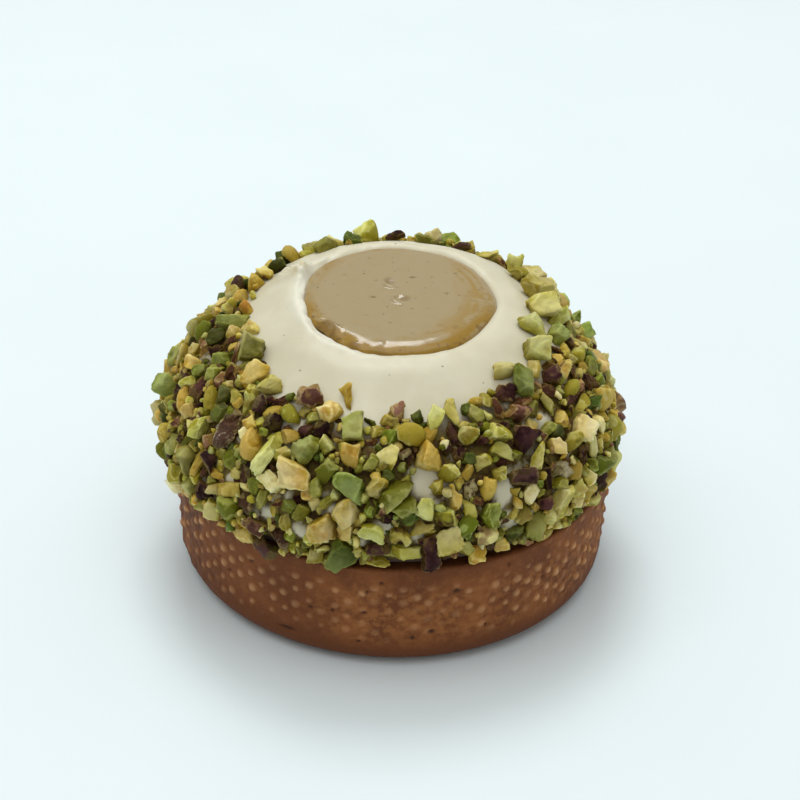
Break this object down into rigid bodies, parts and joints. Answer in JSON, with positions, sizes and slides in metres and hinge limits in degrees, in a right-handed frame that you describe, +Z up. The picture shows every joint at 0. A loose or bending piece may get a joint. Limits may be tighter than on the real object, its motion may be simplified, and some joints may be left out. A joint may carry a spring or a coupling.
{
  "type": "pistachio tart",
  "caption": "Round single-serving tart: a baked shell under a mousse dome with chopped pistachios on its side and a praline pool in its top.",
  "frame": {"origin": "centre of the shell's flat underside, on the surface that the tart stands on", "axes": "+Z up along the shell's axis, -Y towards the side that the picture shows, +X to the right seen from there"},
  "size_m": [0.0814, 0.0825, 0.0501],
  "materials": {
    "crust": "matte baked crust",
    "mousse": "satin mousse",
    "praline": "glossy praline",
    "pistachio": "satin chopped pistachio"
  },
  "bodies": {
    "root": {"tart_shell": "crust", "mousse": "mousse", "praline": "praline"}
  },
  "joints": []
}
